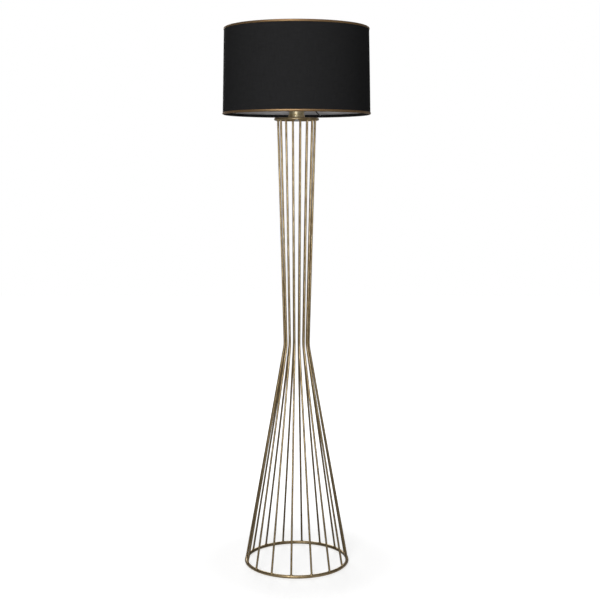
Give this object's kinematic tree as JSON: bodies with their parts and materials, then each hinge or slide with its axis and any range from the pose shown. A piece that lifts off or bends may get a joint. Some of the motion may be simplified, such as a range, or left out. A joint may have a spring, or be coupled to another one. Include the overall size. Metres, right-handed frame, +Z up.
{
  "type": "wire cage floor lamp",
  "caption": "Floor lamp: an hourglass cage of bent steel wires between two rings carries a lampholder with bulb and a black fabric drum shade with gold edges.",
  "frame": {"origin": "on the floor at the lamp's vertical axis, in the middle of the base ring", "axes": "+Z up along the lamp's axis, -Y towards the front, +X to the right seen from the front"},
  "size_m": [0.4333, 0.4334, 1.6],
  "materials": {
    "cage_brass": "antique brass, satin lacquer over brushed steel",
    "zinc_steel": "zinc plated",
    "bush_plastic": "moulded, matt",
    "holder_brass": "polished and lacquered",
    "porcelain": "glazed",
    "contact_brass": "stamped, bright",
    "shade_fabric": "plain-woven cotton laminate",
    "shade_laminate": "matt film backing",
    "shade_wire": "black powder coat",
    "edge_tape": "gold woven tape",
    "bulb_glass": "clear blown glass",
    "cap_metal": "rolled thread, nickel plated",
    "cap_glass": "black glass",
    "tip_metal": "tinned",
    "filament": "phosphor coated sticks"
  },
  "bodies": {
    "cage": {"base_ring": "cage_brass", "cage_wire_01": "cage_brass", "cage_wire_02": "cage_brass", "cage_wire_03": "cage_brass", "cage_wire_04": "cage_brass", "cage_wire_05": "cage_brass", "cage_wire_06": "cage_brass", "cage_wire_07": "cage_brass", "cage_wire_08": "cage_brass", "cage_wire_09": "cage_brass", "cage_wire_10": "cage_brass", "cage_wire_11": "cage_brass", "cage_wire_12": "cage_brass", "cage_wire_13": "cage_brass", "cage_wire_14": "cage_brass", "cage_wire_15": "cage_brass", "cage_wire_16": "cage_brass", "top_ring": "cage_brass", "mounting_plate": "cage_brass", "threaded_nipple": "zinc_steel", "plate_washer": "zinc_steel", "lock_nut": "zinc_steel", "cable_bush": "bush_plastic", "holder_seat": "holder_brass", "holder_cup": "holder_brass", "holder_sleeve": "holder_brass", "holder_core": "porcelain", "holder_screw_shell": "contact_brass", "holder_centre_contact": "contact_brass", "holder_terminal_screws": "contact_brass"},
    "shade": {"shade_cover": "shade_fabric", "shade_lining": "shade_laminate", "shade_bottom_ring": "shade_wire", "shade_top_ring": "shade_wire", "shade_bottom_trim": "edge_tape", "shade_top_trim": "edge_tape", "shade_fitter": "shade_wire", "shade_arm_right": "shade_wire", "shade_arm_back": "shade_wire", "shade_arm_left": "shade_wire"},
    "shade_ring": {"shade_ring": "holder_brass"},
    "bulb": {"bulb_glass": "bulb_glass", "bulb_cap": "cap_metal", "bulb_cap_insulator": "cap_glass", "bulb_tip_contact": "tip_metal", "bulb_stem": "bulb_glass", "bulb_lead_wires": "cap_metal", "bulb_filaments": "filament"}
  },
  "joints": [
    {"name": "shade_turn", "type": "hinge", "parent": "cage", "child": "shade", "pos_m": [0, 0, 1.3896], "axis": [0, 0, 1], "continuous": true},
    {"name": "shade_ring_turn", "type": "hinge", "parent": "cage", "child": "shade_ring", "pos_m": [0, 0, 1.3951], "axis": [0, 0, 1], "range_deg": [0, 2070]},
    {"name": "bulb_turn", "type": "hinge", "parent": "cage", "child": "bulb", "pos_m": [0, 0, 1.3808], "axis": [0, 0, 1], "range_deg": [0, 1440]}
  ]
}
